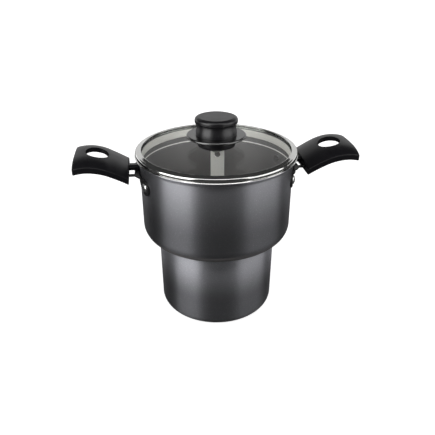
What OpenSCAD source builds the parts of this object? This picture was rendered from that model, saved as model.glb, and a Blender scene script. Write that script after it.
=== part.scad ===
// Couscous steamer: a stepped aluminium pot with a glass lid, two moulded side handles
// and a loose steam tray. The origin is the middle of the base, +Z is up and the handles
// lie along X. Lengths are in millimetres.

/* [Pot] */
// Outer radius of the upper bowl
bowl_r = 71.9; // [65:0.1:85]
// Thickness of the drawn aluminium
wall = 1.6; // [1:0.1:2.5]
// Height of the underside of the step
step_h = 79.2; // [60:0.1:100]
// Outside corner radius under the bowl
bowl_corner = 13; // [8:0.5:13.5]
// Width of the step's flat part, between the chamber and the bowl's corner
ledge = 1.5; // [0.8:0.1:6]
// How much narrower the chamber is at its base
chamber_draft = 0.6; // [0:0.1:2]
// Outside corner radius at the base
chamber_corner = 9; // [5:0.5:16]
// Outside radius where the chamber meets the step
step_fillet = 0.6; // [0.4:0.1:1]
// Height of the lip's top
lip_h = 161.9; // [150:0.1:190]
// How far the lip stands out from the bowl
lip_out = 4; // [3.5:0.1:5]
// Outside radius where the bowl flares into the lip
flare_r = 4; // [3:0.1:4.5]
// Angle of the lip away from the vertical
flare_turn = 60; // [50:1:65]

/* [Lid] */
// Thickness of the glass
glass_t = 3; // [2.6:0.1:4]
// How far the lid's edge stays inside the lip's edge
lid_inset = 0.58; // [0.2:0.02:1.4]
// Rise of the glass from its edge to its middle
glass_rise = 2.8; // [1:0.1:12]
// Thickness of the rolled steel band
rim_t = 0.6; // [0.4:0.05:0.8]
// How far the band folds in over the glass
rim_fold = 5; // [3:0.1:6]
// Depth of the band's skirt below the lip
skirt_drop = 7.4; // [4:0.1:10]
// Side clearance between the skirt and the bowl
skirt_clear = 0.4; // [0.2:0.1:1]

/* [Knob] */
// Radius of the knob's widest bead
knob_r = 19.8; // [16:0.1:24]
// How far the knob's flat top is set in from its bead
knob_bevel = 2.8; // [2.3:0.1:5]
// Radius of the knob's waist
knob_waist_r = 17.7; // [15:0.1:18]
// Radius at the knob's foot, where it meets the guard
knob_base_r = 19; // [17:0.1:20]
// Height of the knob above the guard
knob_h = 16.3; // [14:0.1:22]
// Radius of the guard disc
guard_r = 27.5; // [24:0.1:34]
// Thickness of the guard disc
guard_t = 1.2; // [0.8:0.1:2]
// Height of the guard's turned down edge
guard_edge = 2; // [1.6:0.1:3]
// Radius of the ring under the guard
foot_r = 17.8; // [14:0.1:20]
// Height of the ring under the guard
foot_h = 9.7; // [6:0.1:16]
// Radius of the lid screw's shank
screw_r = 2; // [1.5:0.1:2.5]
// Length of the lid screw's shank in the knob's bush
screw_grip = 7; // [5:0.5:8]
// Radius of the threaded bush in the knob
bush_r = 4.5; // [4:0.1:6]
// Radius of the lid washer
washer_r = 7; // [6:0.1:9]
// Thickness of the lid washer
washer_t = 1; // [0.6:0.1:1.5]
// Thickness of the lid gasket
gasket_t = 1.2; // [0.8:0.1:2]

/* [Handles] */
// Gap between the bowl and a handle's inner end
handle_gap = 10; // [8:0.1:14]
// Length of a handle, outwards from the bowl
handle_l = 47.2; // [45:0.1:56]
// Width of a handle at its inner end
handle_w_in = 54; // [48:0.5:60]
// Width of a handle near its outer end
handle_w_out = 58; // [50:0.5:66]
// Height of the upright band along a handle's sides
handle_band = 5.8; // [4:0.1:7]
// Height of the rounded crown above that band
handle_crown = 4.8; // [4:0.1:9]
// Depth of the hollow under the finger opening
handle_hollow = 7; // [3:0.1:7.4]
// Rise of a handle from its inner end to its crest
handle_rise = 13.6; // [8:0.1:18]
// Length over which a handle rises
handle_rise_l = 36.5; // [33:0.1:44]
// Height of the lip above the underside of a handle's inner end
handle_drop = 18.4; // [17.8:0.1:20]
// Shape of a handle's crown, where 2 is an arc and more is flatter on top
handle_square = 2.3; // [2:0.1:4]
// Length of the finger opening, outwards
opening_l = 20.5; // [12:0.5:22]
// Width of the finger opening
opening_w = 24.5; // [12:0.5:26]
// Distance from the handle's inner end to the opening's middle
opening_at = 27; // [25:0.5:28]
// Width of the nose over the bracket
nose_w = 6.5; // [5:0.5:9]
// Height of the nose over the bracket
nose_h = 4.4; // [3:0.1:5]

/* [Brackets] */
// Thickness of the bracket's steel sheet
sheet = 1.2; // [0.8:0.1:1.6]
// Depth of the bracket's sheet below the lip
bracket_drop = 13.8; // [13:0.1:14.2]
// Width of the bracket at its bend
bracket_w = 44; // [40:0.5:46]
// Width across the two arms that run into the handle
tongue_w = 31; // [28:0.5:34]
// Width of the window between the arms
window_w = 23; // [18:0.5:24]
// Length of the window, outwards from just off the bowl
window_l = 8; // [6:0.1:9]
// Length of the arms inside the handle
tongue_l = 13; // [11:0.1:14]
// Upward slope of the arms inside the handle
tongue_slope = 26; // [22:1:30]
// Inside radius of the bracket's bend
bend_r = 1.6; // [1:0.1:2]
// Distance between a bracket's rivets
rivet_spread = 52; // [48:0.5:56]
// Depth of the rivets below the lip
rivet_drop = 21.9; // [20:0.1:24]
// Radius of the lobe round each rivet
lobe_r = 7.4; // [6.5:0.1:8]
// Radius of a rivet's shank
rivet_r = 2.1; // [1.5:0.1:2.5]
// Radius of a rivet's outer head
rivet_head_r = 4.2; // [3.5:0.1:5]
// Height of a rivet's outer head
rivet_head_h = 1.8; // [1.2:0.1:2.5]

/* [Steam tray] */
// Gap between the tray's edge and the bowl's inner wall
tray_gap = 8.8; // [7:0.1:11]
// Thickness of the tray's sheet
tray_t = 1.2; // [0.8:0.1:2]
// Height of the tray's turned up edge
tray_edge = 4; // [3:0.1:6]
// Radius of the steam holes
steam_hole_r = 1.7; // [1:0.1:2.5]
// Distance between the rings of steam holes
steam_pitch = 10; // [9:0.1:12]
// Width of the strap
strap_w = 13; // [10:0.1:16]
// Thickness of the strap
strap_t = 1.5; // [1:0.1:2]
// Height of the strap's top below the lip
strap_drop = 1.9; // [1.4:0.1:20]
// Distance from the tray's middle to the strap's upright
strap_back = 8; // [8:0.1:12]
// Length of the strap's foot
strap_foot = 24; // [22:0.5:30]
// Radius of the hole near the strap's top
strap_hole_r = 2.9; // [2:0.1:4]
// Distance from the strap's top to the middle of that hole
strap_hole_drop = 4.9; // [4.5:0.1:12]
// Turn of the loose tray about the pot's axis
tray_turn = -16; // [-30:1:30]

/* [Hidden] */
$fn = 96;
fit = 0.05;        // clearance of a shank in its hole
seat = 0.02;       // clearance between faces that rest on each other
slot_clear = 0.15; // clearance round the arms in the handle
inner_r = bowl_r - wall;
chamber_r = bowl_r - bowl_corner - ledge;

// Points along an arc about c, from angle a0 to a1
function arc(c, r, a0, a1, steps = 8) =
    [for (i = [0:steps]) let (a = a0 + (a1 - a0) * i / steps) [c[0] + r * cos(a), c[1] + r * sin(a)]];

function flip(points) = [for (i = [len(points) - 1:-1:0]) points[i]];

// Pot

// The straight run of the lip that brings its rounded edge out to lip_out
flare_run = (lip_out - wall / 2 - flare_r * (1 - cos(flare_turn)) + wall / 2 * cos(flare_turn)) / sin(flare_turn);
flare_z = lip_h - wall / 2 * (1 + sin(flare_turn)) - flare_r * sin(flare_turn) - flare_run * cos(flare_turn);

// One skin of the pot from the axis to the lip, set inwards by depth
function pot_skin(depth) = concat(
    [[0, depth]],
    arc([chamber_r - chamber_draft - chamber_corner, chamber_corner], chamber_corner - depth, -90, 0, 10),
    arc([chamber_r + step_fillet, step_h - step_fillet], step_fillet + depth, 180, 90, 6),
    arc([bowl_r - bowl_corner, step_h + bowl_corner], bowl_corner - depth, -90, 0, 14),
    arc([bowl_r + flare_r, flare_z], flare_r + depth, 180, 180 - flare_turn, 6));

lip_mid = [bowl_r + flare_r - (flare_r + wall / 2) * cos(flare_turn) + flare_run * sin(flare_turn),
    flare_z + (flare_r + wall / 2) * sin(flare_turn) + flare_run * cos(flare_turn)];

module pot_profile() {
    lip_edge = arc(lip_mid, wall / 2, -flare_turn, 180 - flare_turn, 8);
    polygon(concat(pot_skin(0), lip_edge, flip(pot_skin(wall))));
}

rivet_turn = asin(rivet_spread / 2 / bowl_r);
rivet_z = lip_h - rivet_drop;

// Children are set at each rivet of the handle on the +X side, with +Z pointing outwards
module at_rivets() {
    for (side = [-1, 1])
        rotate([0, 0, side * rivet_turn]) translate([0, 0, rivet_z]) rotate([0, 90, 0]) children();
}

module pot_body() {
    color("#4c4e52") difference() {
        rotate_extrude() pot_profile();
        for (turn = [0, 180])
            rotate([0, 0, turn]) at_rivets() translate([0, 0, bowl_r / 2]) cylinder(r = rivet_r + fit, h = bowl_r);
    }
}

// Lid

skirt_r = inner_r - skirt_clear;
band_r = bowl_r + lip_out - lid_inset;
glass_r = band_r - rim_t - seat;
band_corner = 1.2;
// The band's lower corner rests on the lip's rounded edge
rim_z = lip_mid[1] - band_corner
    + sqrt(pow(wall / 2 + band_corner + seat, 2) - pow(max(0, lip_mid[0] - band_r + band_corner), 2));
glass_z = rim_z + rim_t + seat;

// Height of the glass's underside at radius r
function dome(r) = glass_z + glass_rise * (1 - pow(r / glass_r, 2));

module lid_glass() {
    edge_soft = glass_t / 2;
    hole_r = screw_r + 1.5;
    under = [for (i = [0:8]) let (r = hole_r + (glass_r - edge_soft - hole_r) * i / 8) [r, dome(r)]];
    top = [for (p = under) [p[0], p[1] + glass_t]];
    edge = arc([glass_r - edge_soft, dome(glass_r) + edge_soft], edge_soft, -70, 70, 10);
    color("#cfd8dc", 0.4) rotate_extrude() polygon(concat(under, edge, flip(top)));
}

// The band wraps the glass's edge, lies on the lip and has a skirt inside the bowl
module lid_rim() {
    curl = glass_t / 2 + rim_t;
    curl_mid = [band_r - curl, dome(glass_r) + glass_t + seat + rim_t - curl];
    corner_mid = [band_r - band_corner, rim_z + band_corner];
    fold_r = glass_r - rim_fold;
    fold_z = dome(fold_r) + glass_t + seat;
    hem = rim_t * 0.8;
    outer = concat(
        [[skirt_r, rim_z]],
        arc(corner_mid, band_corner, -90, 0, 6),
        arc(curl_mid, curl, 0, 80, 8),
        [[fold_r, fold_z + rim_t]]);
    inner = concat(
        [[fold_r, fold_z]],
        arc(curl_mid, curl - rim_t, 80, 0, 8),
        arc(corner_mid, band_corner - rim_t, 0, -90, 4),
        [[skirt_r - rim_t, rim_z + rim_t]]);
    skirt = concat(
        arc([skirt_r - hem, rim_z - skirt_drop + hem], hem, -180, 0, 8));
    color("#d9d9d6") rotate_extrude() polygon(concat(outer, inner, skirt));
}

// Knob

foot_land = 3.5;
foot_z = dome(foot_r - foot_land) + glass_t + seat;
guard_z = foot_z + foot_h + seat;
knob_z = guard_z + guard_t + seat;
bore_r = screw_r + 0.3;
bush_h = screw_grip + 1;

module knob() {
    knob_top_r = knob_r - knob_bevel;
    top_z = knob_z + knob_h;
    bead_z = top_z - 4;
    color("#1b1b1c") rotate_extrude() difference() {
        polygon(concat(
            [[0, knob_z], [knob_base_r, knob_z]],
            [for (i = [0:8]) let (a = i / 8) [
                knob_waist_r + (knob_base_r - knob_waist_r) * pow(cos(90 * a), 2),
                knob_z + 0.8 + (bead_z - 3.4 - knob_z) * a]],
            arc([knob_r - 2, bead_z - 0.4], 2, -50, 0, 4),
            arc([knob_r - 2.6, bead_z + 1], 2.6, 0, 62, 6),
            [[knob_top_r, top_z - 0.2], [knob_top_r - 0.8, top_z], [0, top_z]]));
        translate([-1, knob_z - 1]) square([bush_r + 1, bush_h + 1]);
    }
}

module knob_bush() {
    color("#b59a4a") translate([0, 0, knob_z]) difference() {
        cylinder(r = bush_r - seat, h = bush_h - seat);
        translate([0, 0, -1]) cylinder(r = screw_r + fit, h = bush_h);
    }
}

module knob_guard() {
    curl = guard_edge - guard_t / 2;
    color("#c9c9c6") rotate_extrude() polygon(concat(
        [[bore_r, guard_z + guard_t], [bore_r, guard_z], [guard_r - curl - 0.2, guard_z]],
        arc([guard_r - curl, guard_z + guard_t - curl], curl - guard_t * 0.6, 80, 0, 4),
        [[guard_r - guard_t * 0.6, guard_z + guard_t - guard_edge], [guard_r, guard_z + guard_t - guard_edge]],
        arc([guard_r - curl, guard_z + guard_t - curl], curl, 0, 90, 6)));
}

module knob_foot() {
    soft = 1.5;
    recess = 1;
    color("#161617") rotate_extrude() polygon(concat(
        [[bore_r, foot_z + recess], [foot_r - foot_land, foot_z + recess], [foot_r - foot_land, foot_z]],
        arc([foot_r - soft, foot_z + soft], soft, -90, 0, 5),
        [[foot_r + 0.4, foot_z + foot_h], [bore_r, foot_z + foot_h]]));
}

gasket_r = washer_r + 0.8;
gasket_z = dome(gasket_r) - seat - gasket_t;
washer_z = gasket_z - seat - washer_t;

module lid_gasket() {
    color("#e8e6e0") translate([0, 0, gasket_z]) difference() {
        cylinder(r = gasket_r, h = gasket_t);
        translate([0, 0, -1]) cylinder(r = bore_r, h = gasket_t + 2);
    }
}

module lid_washer() {
    color("#c8c8c8") translate([0, 0, washer_z]) difference() {
        cylinder(r = washer_r, h = washer_t);
        translate([0, 0, -1]) cylinder(r = bore_r, h = washer_t + 2);
    }
}

module lid_screw() {
    head_r = screw_r * 2.1;
    head_h = screw_r * 1.1;
    head_z = washer_z - seat - head_h;
    color("#bdbdbd") difference() {
        union() {
            translate([0, 0, head_z]) rotate_extrude() polygon(concat(
                [[0, 0], [head_r * 0.6, 0]],
                arc([head_r - 1, 1], 1, -60, 0, 4),
                [[head_r, head_h], [0, head_h]]));
            translate([0, 0, head_z + head_h / 2]) cylinder(r = screw_r, h = knob_z + screw_grip - head_z - head_h / 2);
        }
        for (turn = [0, 90])
            rotate([0, 0, turn]) translate([-head_r * 0.55, -0.4, head_z - 1]) cube([head_r * 1.1, 0.8, 2]);
    }
}

// Handles

handle_u = bowl_r + handle_gap;
handle_z = lip_h - handle_drop;
end_soft = 1;
edge_soft = 1;
stations = 20;

// Half of a handle's section from the middle of its underside to the middle of its crown.
// An upright band, a softened edge and then a shallow crown follow each other.
function half_section(w, band, crown, low) =
    let (turn = atan(w / (crown * handle_square)),
        edge = w - edge_soft * (1 - cos(turn)),
        rise = crown * (1 - pow(edge / w, handle_square)))
    concat(
        [for (i = [0:4]) [(w - low) * i / 5, 0]],
        arc([w - low, low], low, -90, 0, 3),
        arc([w - edge_soft, band + rise - edge_soft * sin(turn)], edge_soft, 0, turn, 4),
        [for (i = [1:12]) let (y = edge * cos(90 * i / 12))
            [y, band + crown * (1 - pow(y / w, handle_square))]]);

function section(w, band, crown, low) = let (half = half_section(w, band, crown, low), last = len(half) - 1)
    concat(half, [for (i = [last - 1:-1:1]) [-half[i][0], half[i][1]]]);

function smooth(x) = let (k = min(1, max(0, x))) k * k * (3 - 2 * k);

// One ring of points round a handle at distance x from its inner end. The section is drawn
// in at both ends, crowned on top and hollowed below the finger opening.
function handle_ring(x) =
    let (near_end = max(0, end_soft - min(x, handle_l - x)),
        inset = end_soft - sqrt(end_soft * end_soft - near_end * near_end),
        w = (handle_w_in + (handle_w_out - handle_w_in) * smooth(x / handle_l * 1.4)) / 2 - inset,
        under = handle_z + inset + handle_rise * sin(90 * x / handle_rise_l),
        hollow = handle_hollow * smooth((x - opening_at + opening_l / 2 + 4) / 8))
    [for (p = section(w, handle_band - inset, handle_crown - inset, 1.2))
        let (k = 1 - pow(p[0] / w, 2), up = p[1] / (handle_band + handle_crown - 2 * inset))
        [handle_u + x, p[0], under + p[1] + k * hollow * (1 - up)]];

module handle_blank() {
    soft_steps = 4;
    along = concat(
        [for (i = [0:soft_steps]) end_soft * (1 - cos(90 * i / soft_steps))],
        [for (i = [1:stations]) end_soft + (handle_l - 2 * end_soft) * i / stations],
        [for (i = [1:soft_steps]) handle_l - end_soft * (1 - sin(90 * i / soft_steps))]);
    rings = [for (x = along) handle_ring(x)];
    round = len(rings[0]);
    top = round / 2;
    last = (len(rings) - 1) * round;
    // Each end is closed by a fan from the middle of its crown
    end = [for (j = [1:round - 2]) [top, (top + j) % round, (top + j + 1) % round]];
    polyhedron(
        points = [for (ring = rings) each ring],
        faces = concat(
            end,
            [for (i = [0:len(rings) - 2], j = [0:round - 1])
                let (a = i * round + j, b = a + round, d = i * round + (j + 1) % round, c = d + round)
                each (j < top ? [[a, b, c], [a, c, d]] : [[a, b, d], [b, c, d]])],
            [for (face = end) [for (j = flip(face)) last + j]]));
}

tongue_z = lip_h - bracket_drop;
bracket_r = bowl_r + seat;
knee_r = 4;

// The bracket's section through its middle: down the wall, over the bend and up the slope
module bracket_profile(clear = 0) {
    bend = [bracket_r + sheet + bend_r, tongue_z - sheet - bend_r];
    knee = [handle_u, tongue_z + knee_r];
    run = (tongue_l - knee_r * sin(tongue_slope) + clear) * [cos(tongue_slope), sin(tongue_slope)];
    over = concat([[bracket_r, rivet_z - 2 * lobe_r]],
        arc(bend, bend_r + sheet + clear, 180, 90, 6),
        arc(knee, knee_r - clear, -90, tongue_slope - 90, 4));
    under = concat([[bracket_r + sheet, rivet_z - 2 * lobe_r]],
        arc(bend, bend_r - clear, 180, 90, 6),
        arc(knee, knee_r + sheet + clear, -90, tongue_slope - 90, 4));
    polygon(concat(over, [over[len(over) - 1] + run], [under[len(under) - 1] + run], flip(under)));
}

// Seen from above, the bracket narrows from the bend to two arms with a window between them
module arm_plan() {
    half = tongue_w / 2;
    window_u = bracket_r + sheet + bend_r + 2;
    difference() {
        polygon([[bracket_r * cos(rivet_turn), -bracket_w / 2], [bracket_r + 1, -bracket_w / 2 + 1],
            [window_u, -half], [handle_u + tongue_l + 1, -half],
            [handle_u + tongue_l + 1, half], [window_u, half],
            [bracket_r + 1, bracket_w / 2 - 1], [bracket_r * cos(rivet_turn), bracket_w / 2]]);
        translate([window_u, -window_w / 2]) square([window_l, window_w]);
    }
}

// Seen from outside, the plate on the wall spreads into a lobe round each rivet
module plate_face() {
    top = tongue_z - rivet_z;
    difference() {
        union() {
            for (side = [-1, 1])
                translate([side * rivet_spread / 2, 0]) circle(r = lobe_r);
            polygon([[-bracket_w / 2, top], [-rivet_spread / 2 - lobe_r * cos(20), lobe_r * sin(20)],
                [-rivet_spread / 2, -lobe_r], [rivet_spread / 2, -lobe_r],
                [rivet_spread / 2 + lobe_r * cos(20), lobe_r * sin(20)], [bracket_w / 2, top]]);
        }
        translate([0, -rivet_spread / 2 + 2]) circle(r = rivet_spread / 2 - 1);
        translate([0, -lobe_r * 2]) square([rivet_spread - lobe_r, lobe_r * 3], center = true);
    }
}

screw_x = 7.5;
screw_hole_r = 1.6;

module bracket() {
    difference() {
        intersection() {
            rotate_extrude() bracket_profile();
            union() {
                translate([0, 0, tongue_z - sheet - 0.5]) linear_extrude(height = 20) arm_plan();
                intersection() {
                    translate([0, 0, rivet_z]) rotate([90, 0, 90]) linear_extrude(height = 100) plate_face();
                    cylinder(r = bracket_r + sheet + bend_r, h = tongue_z);
                }
            }
        }
        at_rivets() translate([0, 0, bowl_r / 2]) cylinder(r = rivet_r + fit, h = bowl_r);
        translate([handle_u + screw_x, 0, tongue_z - 10]) cylinder(r = screw_hole_r + 0.3, h = 20);
    }
}

// The screw's head bears on the plastic left under the arms
screw_web = 2;
screw_seat_z = tongue_z + screw_x * tan(tongue_slope) - sheet - screw_web;

module handle() {
    nose_u = bowl_r + 0.3;
    difference() {
        union() {
            handle_blank();
            intersection() {
                translate([nose_u, -nose_w / 2, tongue_z + seat]) cube([handle_gap + 6, nose_w, nose_h]);
                translate([nose_u, 0, tongue_z + nose_h - nose_w / 2 - 1.2]) rotate([0, 90, 0])
                    cylinder(r = nose_w / 2 + 1.2, h = handle_gap + 6);
            }
        }
        translate([handle_u + opening_at, 0, handle_z - 20]) linear_extrude(height = 60)
            polygon([for (i = [0:47]) [opening_l / 2 * cos(7.5 * i), opening_w / 2 * sin(7.5 * i)]]);
        intersection() {
            rotate_extrude() bracket_profile(slot_clear);
            translate([handle_u - 5, 0, handle_z - 20]) linear_extrude(height = 60)
                square([2 * (tongue_l + 6), tongue_w + 2 * slot_clear], center = true);
        }
        translate([handle_u + screw_x, 0, handle_z - 20]) cylinder(r = screw_hole_r + fit, h = screw_seat_z - handle_z + 28);
        translate([handle_u + screw_x, 0, handle_z - 20]) cylinder(r = screw_hole_r * 2.2, h = screw_seat_z - handle_z + 20);
    }
}

module left_handle() { color("#202022") rotate([0, 0, 180]) handle(); }

module right_handle() { color("#202022") handle(); }

module left_bracket() { color("#c4c4c2") rotate([0, 0, 180]) bracket(); }

module right_bracket() { color("#c4c4c2") bracket(); }

// Rivets through the bowl and the bracket, with a domed head outside and a flat head inside
module rivets() {
    inside_h = 1.1;
    difference() {
        at_rivets() {
            translate([0, 0, inner_r - inside_h]) cylinder(r = rivet_r, h = wall + sheet + inside_h + 0.5);
            translate([0, 0, inner_r - inside_h]) cylinder(r = rivet_head_r, h = inside_h);
            translate([0, 0, bracket_r + sheet]) rotate_extrude() polygon(concat(
                [[0, -0.3], [rivet_head_r, -0.3]],
                [for (i = [0:8]) [rivet_head_r * cos(90 * i / 8), rivet_head_h * sin(90 * i / 8)]]));
        }
        difference() {
            translate([0, 0, rivet_z - 10]) cylinder(r = bracket_r + sheet + seat, h = 20);
            translate([0, 0, rivet_z - 11]) cylinder(r = inner_r - seat, h = 22);
            at_rivets() cylinder(r = rivet_r, h = 2 * bowl_r);
        }
    }
}

module left_rivets() { color("#e4e4e2") rotate([0, 0, 180]) rivets(); }

module right_rivets() { color("#e4e4e2") rivets(); }

module handle_screw() {
    head_h = 1.8;
    translate([handle_u + screw_x, 0, screw_seat_z - seat]) {
        cylinder(r = screw_hole_r, h = 7);
        translate([0, 0, -head_h]) difference() {
            cylinder(r = screw_hole_r * 1.9, h = head_h);
            for (turn = [0, 90])
                rotate([0, 0, turn]) translate([-1.8, -0.35, -1]) cube([3.6, 0.7, 1.9]);
        }
    }
}

module left_handle_screw() { color("#b8b8b8") rotate([0, 0, 180]) handle_screw(); }

module right_handle_screw() { color("#b8b8b8") handle_screw(); }

// Steam tray

tray_r = inner_r - tray_gap;
tray_bend = 2.4;
// The tray's bend lies in the bowl's inner corner, or on the flat ledge where that is wider
tray_reach = bowl_corner - wall - tray_bend - seat;
tray_z = step_h + bowl_corner - tray_bend
    - sqrt(pow(tray_reach, 2) - pow(max(0, tray_r - tray_bend - bowl_r + bowl_corner), 2));
steam_rings = floor((tray_r - 5) / steam_pitch);
foot_rivets = [for (share = [1 / 6, 7 / 12]) strap_back - strap_foot * (1 - share)];

module steam_tray() {
    color("#c2c2bf") difference() {
        translate([0, 0, tray_z]) rotate_extrude() polygon(concat(
            [[0, tray_t], [0, 0]],
            arc([tray_r - tray_bend, tray_bend], tray_bend, -90, 0, 6),
            [[tray_r, tray_edge], [tray_r - tray_t, tray_edge]],
            arc([tray_r - tray_bend, tray_bend], tray_bend - tray_t, 0, -90, 6)));
        rotate([0, 0, tray_turn]) {
            for (ring = [2:steam_rings], i = [0:6 * ring - 1])
                rotate([0, 0, 60 * i / ring]) translate([ring * steam_pitch, 0, tray_z - 1])
                    cylinder(r = steam_hole_r, h = tray_t + 2, $fn = 24);
            for (y = foot_rivets)
                translate([0, y, tray_z - 1]) cylinder(r = rivet_r * 0.8 + fit, h = tray_t + 2);
        }
    }
}

strap_z = tray_z + tray_t + seat;

// A flat strap with its foot bent forwards along the tray
module tray_strap() {
    bend = 1.5;
    strap_h = lip_h - strap_drop - strap_z;
    color("#bdbcb8") rotate([0, 0, tray_turn]) difference() {
        translate([-strap_w / 2, 0, strap_z]) rotate([90, 0, 90]) linear_extrude(height = strap_w) polygon(concat(
            [[strap_back - strap_foot, strap_t], [strap_back - strap_foot, 0]],
            arc([strap_back - bend, bend], bend, -90, 0, 5),
            [[strap_back, strap_h], [strap_back - strap_t, strap_h]],
            arc([strap_back - bend - strap_t, bend + strap_t], bend, 0, -90, 5)));
        translate([0, strap_back + 1, lip_h - strap_drop - strap_hole_drop]) rotate([90, 0, 0])
            cylinder(r = strap_hole_r, h = strap_t + 4);
        for (y = foot_rivets)
            translate([0, y, strap_z - 1]) cylinder(r = rivet_r * 0.8 + fit, h = strap_t + 2);
    }
}

module tray_rivets() {
    shank = rivet_r * 0.8;
    head_h = 1;
    color("#dededb") rotate([0, 0, tray_turn])
        for (y = foot_rivets) translate([0, y, tray_z]) {
            cylinder(r = shank, h = tray_t + strap_t + 3 * seat);
            translate([0, 0, -head_h - seat]) cylinder(r = shank * 1.8, h = head_h);
            translate([0, 0, tray_t + strap_t + 2 * seat]) cylinder(r = shank * 1.8, h = head_h);
            translate([0, 0, -head_h / 2]) cylinder(r = shank, h = tray_t + strap_t + head_h);
        }
}

pot_body();
lid_glass();
lid_rim();
knob();
knob_bush();
knob_guard();
knob_foot();
lid_gasket();
lid_washer();
lid_screw();
left_handle();
right_handle();
left_bracket();
right_bracket();
left_rivets();
right_rivets();
left_handle_screw();
right_handle_screw();
steam_tray();
tray_strap();
tray_rivets();
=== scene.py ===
# Couscous steamer: finishes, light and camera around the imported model
import math

import bpy
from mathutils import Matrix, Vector


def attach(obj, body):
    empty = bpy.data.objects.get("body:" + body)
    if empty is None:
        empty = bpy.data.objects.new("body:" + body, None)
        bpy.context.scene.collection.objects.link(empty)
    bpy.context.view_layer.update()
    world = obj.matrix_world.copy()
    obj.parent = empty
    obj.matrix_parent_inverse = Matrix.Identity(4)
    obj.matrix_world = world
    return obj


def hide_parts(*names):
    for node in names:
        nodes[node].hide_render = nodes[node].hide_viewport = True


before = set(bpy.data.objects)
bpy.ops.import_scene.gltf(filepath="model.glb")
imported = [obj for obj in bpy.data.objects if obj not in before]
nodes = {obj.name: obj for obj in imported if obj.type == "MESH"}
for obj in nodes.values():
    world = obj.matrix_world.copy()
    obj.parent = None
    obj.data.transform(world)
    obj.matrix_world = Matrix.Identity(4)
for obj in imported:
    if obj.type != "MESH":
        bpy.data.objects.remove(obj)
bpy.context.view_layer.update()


# Shader maths
class Wire:
    # One shader socket, so that sums can be written as Python expressions
    def __init__(self, tree, socket):
        self.tree = tree
        self.socket = socket

    def maths(self, operation, *values, clamp=False):
        node = self.tree.nodes.new("ShaderNodeMath")
        node.operation = operation
        node.use_clamp = clamp
        for slot, value in zip(node.inputs, values):
            if isinstance(value, Wire):
                self.tree.links.new(value.socket, slot)
            else:
                slot.default_value = value
        return Wire(self.tree, node.outputs[0])

    def __add__(self, other):
        return self.maths("ADD", self, other)

    def __radd__(self, other):
        return self.maths("ADD", other, self)

    def __sub__(self, other):
        return self.maths("SUBTRACT", self, other)

    def __rsub__(self, other):
        return self.maths("SUBTRACT", other, self)

    def __mul__(self, other):
        return self.maths("MULTIPLY", self, other)

    def __rmul__(self, other):
        return self.maths("MULTIPLY", other, self)

    def __pow__(self, other):
        return self.maths("POWER", self, other)

    def __abs__(self):
        return self.maths("ABSOLUTE", self)

    def least(self, other):
        return self.maths("MINIMUM", self, other)

    def most(self, other):
        return self.maths("MAXIMUM", self, other)

    def above(self, edge, width):
        # 0 below edge, 1 from edge + width, smooth between them
        t = self.maths("MULTIPLY", self - edge, 1 / width, clamp=True)
        return t * t * (3 - 2 * t)


def grey(value):
    return (value, value, value)


class Shading:
    # A shader's node tree, and short ways to add nodes to it
    def __init__(self, tree):
        self.tree = tree

    def feed(self, socket, value):
        if isinstance(value, Wire):
            self.tree.links.new(value.socket, socket)
        else:
            socket.default_value = value

    def add(self, kind, settings=None, sockets=None, output=0):
        node = self.tree.nodes.new("ShaderNode" + kind)
        for key, value in (settings or {}).items():
            setattr(node, key, value)
        for key, value in (sockets or {}).items():
            self.feed(node.inputs[key], value)
        return Wire(self.tree, node.outputs[output])

    def path(self, output):
        return self.add("LightPath", output=output)

    def wasMirrored(self):
        # 1 for rays that met a mirroring surface on their way, 0 for all others
        return self.path("Glossy Depth").least(1)

    def seenPlainly(self):
        # 1 for rays from the camera, also through glass, 0 for those that were mirrored
        throughGlass = self.path("Is Transmission Ray") * (1 - self.wasMirrored())
        return self.path("Is Camera Ray").most(throughGlass)


class Finish(Shading):
    # A material with one Principled shader
    def __init__(self, name, **fixed):
        self.material = bpy.data.materials.new(name)
        self.material.use_nodes = True
        super().__init__(self.material.node_tree)
        self.shader = self.tree.nodes["Principled BSDF"]
        for key, value in fixed.items():
            self.set(key.replace("_", " "), value)

    def set(self, key, value):
        self.feed(self.shader.inputs[key], value)

    def place(self):
        return self.add("TexCoord", output="Object")

    def heightAndRadius(self):
        # The height, and the distance from the middle line
        split = self.add("SeparateXYZ", sockets={"Vector": self.place()})
        x, y, z = [Wire(self.tree, output) for output in split.socket.node.outputs]
        return z, (x * x + y * y) ** 0.5

    def noise(self, scale, detail=2, vector=None):
        return self.add("TexNoise", sockets={"Scale": scale, "Detail": detail,
                                             "Vector": vector or self.place()})

    def blend(self, factor, first, second):
        # Inputs 6 and 7 and output 2 are the colour sockets of the Mix node
        first, second = [colour if isinstance(colour, Wire) else (*colour, 1)
                         for colour in (first, second)]
        return self.add("Mix", {"data_type": "RGBA"}, {0: factor, 6: first, 7: second}, output=2)

    def brighten(self, colour, factor):
        return self.add("VectorMath", {"operation": "SCALE"}, {"Vector": colour, "Scale": factor})

    def bump(self, height, strength, distance):
        self.set("Normal", self.add("Bump", sockets={"Height": height, "Strength": strength,
                                                     "Distance": distance}))

    def clearShadow(self):
        # Light passes straight through to what stands behind
        solid = Wire(self.tree, self.shader.outputs[0])
        clear = self.add("BsdfTransparent")
        mix = self.add("MixShader", sockets={0: self.path("Is Shadow Ray"), 1: solid, 2: clear})
        self.feed(self.tree.nodes["Material Output"].inputs["Surface"], mix)

    def on(self, *names):
        for name in names:
            mesh = nodes[name].data
            mesh.materials.clear()
            mesh.materials.append(self.material)


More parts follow.
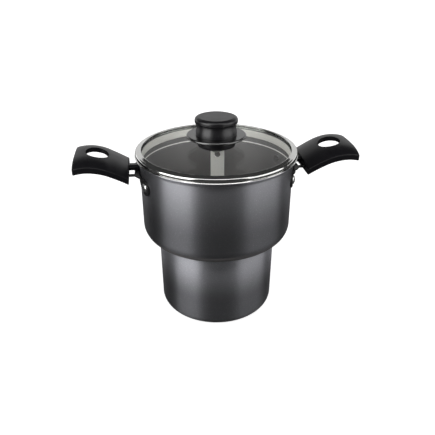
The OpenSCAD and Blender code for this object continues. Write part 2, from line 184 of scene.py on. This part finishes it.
# Pot: speckled coating, turned lines, bright lip, and a thin pale line round the inside of the bowl
# below the skirt's hem. Painted light: the coating is painted paler towards the top of each tier,
# and partly painted lighter inside the bowl.
# A "From" value is where something starts, in metres but for the fleck, and the width of its
# soft edge. A noise lies around 0.5, so half is taken off where it only varies a roughness.
pot = {
    "base": (0.215, 0.2165, 0.231), "roughness": 0.42, "metallic": 0.96,
    "stretch": 0.88, "stretchTurn": 0.25,  # highlights stretched upwards by the turned lines
    "fleck": (0.50, 0.50, 0.52), "fleckShare": 0.38, "fleckFrom": (0.60, 0.14),
    "grainScale": 1700, "bump": (0.06, 0.0001),
    "cloudScale": 60, "cloudRoughness": 0.06, "turnedScale": 2600, "turnedRoughness": 0.08,
    # partly the coating's own colour inside the bowl, partly painted light: set so the inside shows
    # lighter, as if lit through the glass
    "insideColourWithPaintedLight": (0.165, 0.158, 0.160), "insideMetallic": 0.40,
    "outsideFrom": (0.0709, 0.0004), "bowlFloorFrom": (0.082, 0.001),
    # a thin pale line round the inside of the bowl, a little below the skirt's hem
    "paleRingColour": (0.9, 0.89, 0.86), "paleRingHeight": 0.1484, "paleRingMetallic": 0.06,
    "besidePaleRingFrom": (0.0005, 0.0001),
    "lipColour": (0.80, 0.80, 0.79), "lipFrom": (0.1612, 0.0003), "lipRoughness": 0.06,
    # painted light: the coating's colour is raised towards the top of each tier, for highlights
    # that fade downwards
    "bowlFrom": (0.079, 0.002), "bowlPaintedLightFrom": (0.104, 0.056), "bowlPaintedLightGain": 1.35,
    "chamberPaintedLightBase": 0.2, "chamberPaintedLightFrom": (0.028, 0.045), "chamberPaintedLightGain": 2.2,
}
finish = Finish("potCoating", Anisotropic=pot["stretch"], Anisotropic_Rotation=pot["stretchTurn"])
height, radius = finish.heightAndRadius()
grain = finish.noise(pot["grainScale"], detail=1)
fleck = grain.above(*pot["fleckFrom"])
cloud = finish.noise(pot["cloudScale"], detail=3)
lines = finish.add("CombineXYZ", sockets={"X": height * pot["turnedScale"]})
turned = finish.noise(1, vector=lines)
lip = height.above(*pot["lipFrom"])
inside = 1 - radius.above(*pot["outsideFrom"])
# A thin pale line painted round the inside of the bowl, a little below the skirt's hem
paleRing = inside * (1 - abs(height - pot["paleRingHeight"]).above(*pot["besidePaleRingFrom"]))
bowlInside = inside * height.above(*pot["bowlFloorFrom"])
bowlPaintedLight = height.above(*pot["bowlPaintedLightFrom"]) * pot["bowlPaintedLightGain"]  # painted highlight, paler towards the lip
# Painted light on the lower tier: a little paler all over, and more so towards its top
chamber = 1 - height.above(*pot["bowlFrom"])
chamberPaintedLight = pot["chamberPaintedLightBase"] + height.above(*pot["chamberPaintedLightFrom"]) * pot["chamberPaintedLightGain"]
paintedLight = 1 + bowlPaintedLight + chamber * chamberPaintedLight
speckled = finish.blend(fleck * pot["fleckShare"], pot["base"], pot["fleck"])
# Partly painted light: inside the bowl the coating takes its own colour, which shows lighter, as if
# lit through the glass
coated = finish.blend(bowlInside, finish.brighten(speckled, paintedLight), pot["insideColourWithPaintedLight"])
marked = finish.blend(paleRing, coated, pot["paleRingColour"])
finish.set("Base Color", finish.blend(lip, marked, pot["lipColour"]))
finish.set("Roughness", pot["roughness"] + (cloud - 0.5) * pot["cloudRoughness"]
           + (turned - 0.5) * pot["turnedRoughness"]
           - lip * (pot["roughness"] - pot["lipRoughness"]))
finish.set("Metallic", pot["metallic"] + lip * (1 - pot["metallic"])
           - bowlInside * (pot["metallic"] - pot["insideMetallic"])
           - paleRing * (pot["insideMetallic"] - pot["paleRingMetallic"]))
finish.bump(grain, *pot["bump"])
finish.on("pot_body")
print("pot finished")

# Lid glass, which mirrors almost nothing in the photo
glass = {"colour": (0.95, 0.965, 0.955, 1), "bending": 1.08,
         "smearScale": 25, "smearFrom": (0.55, 0.3), "smearRoughness": 0.02}
finish = Finish("lidGlass", Transmission_Weight=1, IOR=glass["bending"])
finish.set("Base Color", glass["colour"])
smear = finish.noise(glass["smearScale"], detail=3)
finish.set("Roughness", smear.above(*glass["smearFrom"]) * glass["smearRoughness"])
finish.clearShadow()
finish.on("lid_glass")

# Polished steel of the lid's band, satin on the skirt inside the bowl
steel = {
    "colour": (0.86, 0.86, 0.84), "roughness": 0.07,
    "cloudColour": (0.66, 0.66, 0.65), "cloudShare": 0.3, "cloudScale": 80, "cloudRoughness": 0.04,
    "skirtColour": (0.90, 0.88, 0.83), "skirtRoughness": 0.45, "skirtMetallic": 0.4,
    "bandFrom": (0.1612, 0.0004), "outsideFrom": (0.0704, 0.0003),
}
finish = Finish("polishedSteel")
height, radius = finish.heightAndRadius()
skirt = (1 - height.above(*steel["bandFrom"])) * (1 - radius.above(*steel["outsideFrom"]))
cloud = finish.noise(steel["cloudScale"])
band = finish.blend(cloud * steel["cloudShare"], steel["colour"], steel["cloudColour"])
finish.set("Base Color", finish.blend(skirt, band, steel["skirtColour"]))
finish.set("Roughness", steel["roughness"] + cloud * steel["cloudRoughness"]
           + skirt * (steel["skirtRoughness"] - steel["roughness"]))
finish.set("Metallic", 1 - skirt * (1 - steel["skirtMetallic"]))
bandSteel = finish.material
finish.on("lid_rim")


# Turned pieces
def arc(centre, radius, start, end, steps):
    # Points of (radius, height), by angles in degrees from straight outwards
    turns = [math.radians(start + (end - start) * i / steps) for i in range(steps + 1)]
    return [(centre[0] + radius * math.cos(turn), centre[1] + radius * math.sin(turn))
            for turn in turns]


def turnedPiece(name, outline, material, segments=256, creaseAngle=35, weld=0.00001):
    # One point, extruded along a closed outline of (radius, height) in mm. The outline is then
    # swept round the middle line.
    points = [Vector((radius, 0, height)) / 1000 for radius, height in outline]
    bpy.ops.object.select_all(action="DESELECT")
    bpy.ops.mesh.primitive_plane_add(size=1, location=(0, 0, 0))
    piece = bpy.context.object
    piece.name = name
    bpy.ops.object.mode_set(mode="EDIT")
    bpy.ops.mesh.merge(type="CENTER")
    bpy.ops.transform.translate(value=points[0])
    for here, there in zip(points, points[1:] + points[:1]):
        bpy.ops.mesh.extrude_region_move(TRANSFORM_OT_translate={"value": there - here})
    bpy.ops.mesh.select_all(action="SELECT")
    bpy.ops.mesh.remove_doubles(threshold=weld)
    bpy.ops.object.mode_set(mode="OBJECT")
    sweep = piece.modifiers.new("sweep", "SCREW")
    sweep.steps = sweep.render_steps = segments
    sweep.use_merge_vertices = True
    bpy.ops.object.modifier_apply(modifier=sweep.name)
    bpy.ops.object.mode_set(mode="EDIT")
    bpy.ops.mesh.select_all(action="SELECT")
    bpy.ops.mesh.normals_make_consistent(inside=False)
    bpy.ops.object.mode_set(mode="OBJECT")
    bpy.ops.object.shade_smooth_by_angle(angle=math.radians(creaseAngle))
    piece.data.materials.append(material)
    return piece


# The lid's band again with finely rounded curves, so that its reflections run on without a break.
# The outline runs from the hem of the skirt inside the bowl, up to the corner on the lip, round the
# curl at the edge and over the glass to the fold's bead, and back inside by the thickness of the
# sheet. Lengths are in mm, turns in degrees.
lidBand = {
    "edgeRadius": 75.32, "curl": 2.1, "curlHeight": 163.81, "curlTurn": 82, "innerCurlTurn": 80,
    "corner": 1.2, "cornerHeight": 162.87, "thickness": 0.6,
    "foldRadius": 69.7, "foldHeight": 166.27, "foldBead": 0.45, "beadTurns": (40, 270),
    "skirtRadius": 69.9, "skirtHeight": 154.75, "hem": 0.48,
}
thickness, skirtRadius = lidBand["thickness"], lidBand["skirtRadius"]
curl, corner, bead, hem = (lidBand[part] for part in ("curl", "corner", "foldBead", "hem"))
curlMid = (lidBand["edgeRadius"] - curl, lidBand["curlHeight"])
cornerMid = (lidBand["edgeRadius"] - corner, lidBand["cornerHeight"])
hemMid = (skirtRadius - hem, lidBand["skirtHeight"])
beadMid = (lidBand["foldRadius"] + bead, lidBand["foldHeight"] - thickness + bead)
skirtTop = lidBand["cornerHeight"] - corner
bandOutline = (
    arc(hemMid, hem, -180, 0, 12)
    + [(skirtRadius, skirtTop)]
    + arc(cornerMid, corner, -90, 0, 12)
    + arc(curlMid, curl, 0, lidBand["curlTurn"], 24)
    + arc(beadMid, bead, *lidBand["beadTurns"], 16)
    + arc(curlMid, curl - thickness, lidBand["innerCurlTurn"], 0, 12)
    + arc(cornerMid, corner - thickness, 0, -90, 8)
    + [(skirtRadius - thickness, skirtTop + thickness)])
smoothBand = turnedPiece("lidBandSmooth", bandOutline, bandSteel)
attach(smoothBand, "root")
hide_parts("lid_rim")
print("lid finished")

# Black moulded plastic, a little shinier on the knob
plastic = {
    "colour": (0.0045, 0.0041, 0.0056), "mottled": (0.0075, 0.0070, 0.0088),
    "mottleScale": 140, "roughness": 0.34, "mottleRoughness": 0.10,
    "grainScale": 2600, "bump": (0.10, 0.0001),
    "kinds": (("handlePhenolic", 0.42, ("left_handle", "right_handle")),  # name, shine, pieces
              ("knobPhenolic", 0.9, ("knob", "knob_foot"))),
}
for name, shine, pieces in plastic["kinds"]:
    finish = Finish(name, Specular_IOR_Level=shine)
    mottle = finish.noise(plastic["mottleScale"], detail=4)
    finish.set("Base Color", finish.blend(mottle, plastic["colour"], plastic["mottled"]))
    finish.set("Roughness", plastic["roughness"] + (mottle - 0.5) * plastic["mottleRoughness"])
    finish.bump(finish.noise(plastic["grainScale"], detail=1), *plastic["bump"])
    finish.on(*pieces)

# Plain finishes, each mixed from two tones by a noise that varies the roughness too:
# the dark guard under the knob, painted brackets, rivets, rolled sheet, screws, bush and gasket
plain = {
    "guardSteel": {
        "metallic": 1, "scale": 120, "detail": 3, "tones": (grey(0.17), grey(0.22)),
        "roughness": (0.2, 0.08), "pieces": ("knob_guard",)},
    "blackSteel": {
        "metallic": 0, "scale": 300, "detail": 2, "tones": (grey(0.008), grey(0.014)),
        "roughness": (0.3, 0.12), "pieces": ("left_bracket", "right_bracket")},
    "brightAluminium": {
        "metallic": 1, "scale": 900, "detail": 2, "tones": ((0.90, 0.90, 0.89), (0.82, 0.82, 0.81)),
        "roughness": (0.2, 0.12), "pieces": ("left_rivets", "right_rivets", "tray_rivets")},
    "satinAluminium": {
        "metallic": 0.4, "scale": 1, "detail": 2, "stretch": (14000, 14000, 400),
        "tones": ((0.86, 0.845, 0.81), (0.94, 0.925, 0.89)),
        "roughness": (0.42, 0.16), "pieces": ("steam_tray", "tray_strap")},
    "zincSteel": {
        "metallic": 1, "scale": 700, "detail": 2, "tones": ((0.62, 0.63, 0.64), (0.70, 0.70, 0.69)),
        "roughness": (0.28, 0.14),
        "pieces": ("lid_screw", "lid_washer", "left_handle_screw", "right_handle_screw")},
    "turnedBrass": {
        "metallic": 1, "scale": 800, "detail": 2, "tones": ((0.70, 0.52, 0.22), (0.78, 0.60, 0.28)),
        "roughness": (0.25, 0.12), "pieces": ("knob_bush",)},
    "whiteSilicone": {
        "metallic": 0, "scale": 500, "detail": 2, "tones": ((0.80, 0.79, 0.76), (0.72, 0.71, 0.68)),
        "roughness": (0.5, 0.1), "pieces": ("lid_gasket",)},
}
for name, look in plain.items():
    finish = Finish(name, Metallic=look["metallic"])
    vector = finish.place()
    if "stretch" in look:
        vector = finish.add("Mapping", sockets={"Vector": vector, "Scale": look["stretch"]})
    grain = finish.noise(look["scale"], detail=look["detail"], vector=vector)
    finish.set("Base Color", finish.blend(grain, *look["tones"]))
    smoothest, spread = look["roughness"]
    finish.set("Roughness", smoothest + grain * spread)
    finish.on(*look["pieces"])
print("small parts finished")

# Camera values, with the azimuth that the backdrop and the lamps follow
view = {"azimuth": -8, "elevation": 27.83, "distance": 0.5, "aimHeight": 0.09146, "aside": 0.0011,
        "lens": 41.27, "sensor": 36}
viewTurn = math.radians(view["azimuth"])

# Floor, backdrop and world: "seen" and "glow" hold for the camera, also through glass, and make
# them white. "shade" holds for all other light, and "mirrored" is the glow that shiny pieces show.
studio = {
    "floor": {"shade": 0.05, "seen": 0.5, "glow": 0.82, "farGlow": 1, "mirrored": 0},
    "backdrop": {"shade": 0.5, "seen": 0.5, "glow": 1, "farGlow": 1, "mirrored": 0.5},
    "world": {"shade": 0.5, "mirrored": 0.04},
    "farFrom": (0.35, 0.35), "floorSize": 8, "roughness": 0.9,
    "backDistance": 1.25, "backWidth": 4.4, "backHeight": 0.88,
}


def stageWhite(name, shade, seen, glow, farGlow, mirrored):
    finish = Finish(name, Roughness=studio["roughness"], Emission_Strength=1)
    plainly = finish.seenPlainly()
    finish.set("Base Color", finish.blend(plainly, grey(shade), grey(seen)))
    height, radius = finish.heightAndRadius()
    white = finish.blend(radius.above(*studio["farFrom"]), grey(glow), grey(farGlow))
    metal = finish.blend(finish.path("Is Glossy Ray"), grey(0), grey(mirrored))
    finish.set("Emission Color", finish.blend(plainly, metal, white))
    return finish.material


bpy.ops.mesh.primitive_plane_add(size=studio["floorSize"], location=(0, 0, 0))
floor = bpy.context.object
floor.name = "studioFloor"
floor.data.materials.append(stageWhite("floorWhite", **studio["floor"]))

bpy.ops.mesh.primitive_plane_add(size=1, location=(0, 0, 0))
backdrop = bpy.context.object
backdrop.name = "studioBackdrop"
backdrop.scale = (studio["backWidth"], studio["backHeight"], 1)
backdrop.rotation_euler = (math.radians(90), 0, viewTurn)
backdrop.location = (-math.sin(viewTurn) * studio["backDistance"],
                     math.cos(viewTurn) * studio["backDistance"], studio["backHeight"] / 2)
backdrop.data.materials.append(stageWhite("backdropWhite", **studio["backdrop"]))

world = bpy.data.worlds.new("studioWorld")
bpy.context.scene.world = world
world.use_nodes = True
sky = Shading(world.node_tree)
plainly = sky.seenPlainly()
shade, mirrored = studio["world"]["shade"], studio["world"]["mirrored"]
strength = plainly + (1 - plainly) * (shade + sky.wasMirrored() * (mirrored - shade))
background = sky.tree.nodes["Background"]
sky.feed(background.inputs["Strength"], strength)
sky.feed(background.inputs["Color"], (1, 1, 1, 1))
print("floor, backdrop and world made")

# Lamps: azimuths count from the photo's camera, in degrees, and all lamps face one point
lampAim = Vector((0, 0, 0.09))
lamps = {
    "leftBox": {"azimuth": -55, "height": 0.42, "away": 0.95, "size": (0.88, 0.9), "watts": 5.9},
    "rightBox": {"azimuth": 70, "height": 0.42, "away": 1, "size": (1.15, 0.9), "watts": 4.3},
    "topBox": {"azimuth": 0, "height": 1.45, "away": 0.8, "size": (2.4, 0.34), "watts": 6.6},
    "leftEdge": {"azimuth": -125, "height": 0.15, "away": 1.1, "size": (0.7, 0.5), "watts": 0.5},
    "rightEdge": {"azimuth": 125, "height": 0.15, "away": 1.1, "size": (0.7, 0.5), "watts": 0.5},
}
for name, lamp in lamps.items():
    light = bpy.data.lights.new(name, "AREA")
    light.shape = "RECTANGLE"
    light.size, light.size_y = lamp["size"]
    light.energy = lamp["watts"]
    holder = bpy.data.objects.new(name, light)
    bpy.context.scene.collection.objects.link(holder)
    turn = viewTurn + math.radians(lamp["azimuth"])
    holder.location = (math.sin(turn) * lamp["away"], -math.cos(turn) * lamp["away"],
                       lamp["height"])
    holder.rotation_euler = (lampAim - holder.location).to_track_quat("-Z", "Y").to_euler()
print("light placed")

# Camera at the photo's place
rise = math.radians(view["elevation"])
aside = Vector((math.cos(viewTurn), math.sin(viewTurn), 0)) * view["aside"]
aim = Vector((0, 0, view["aimHeight"])) + aside
towardsEye = Vector((math.sin(viewTurn) * math.cos(rise), -math.cos(viewTurn) * math.cos(rise),
                     math.sin(rise)))
camera = bpy.data.objects.new("photoCamera", bpy.data.cameras.new("photoCamera"))
bpy.context.scene.collection.objects.link(camera)
camera.data.lens = view["lens"]
camera.data.sensor_width = view["sensor"]
camera.location = aim + view["distance"] * towardsEye
camera.rotation_euler = (-towardsEye).to_track_quat("-Z", "Y").to_euler()
bpy.context.scene.camera = camera
bpy.context.scene.view_settings.view_transform = "Standard"
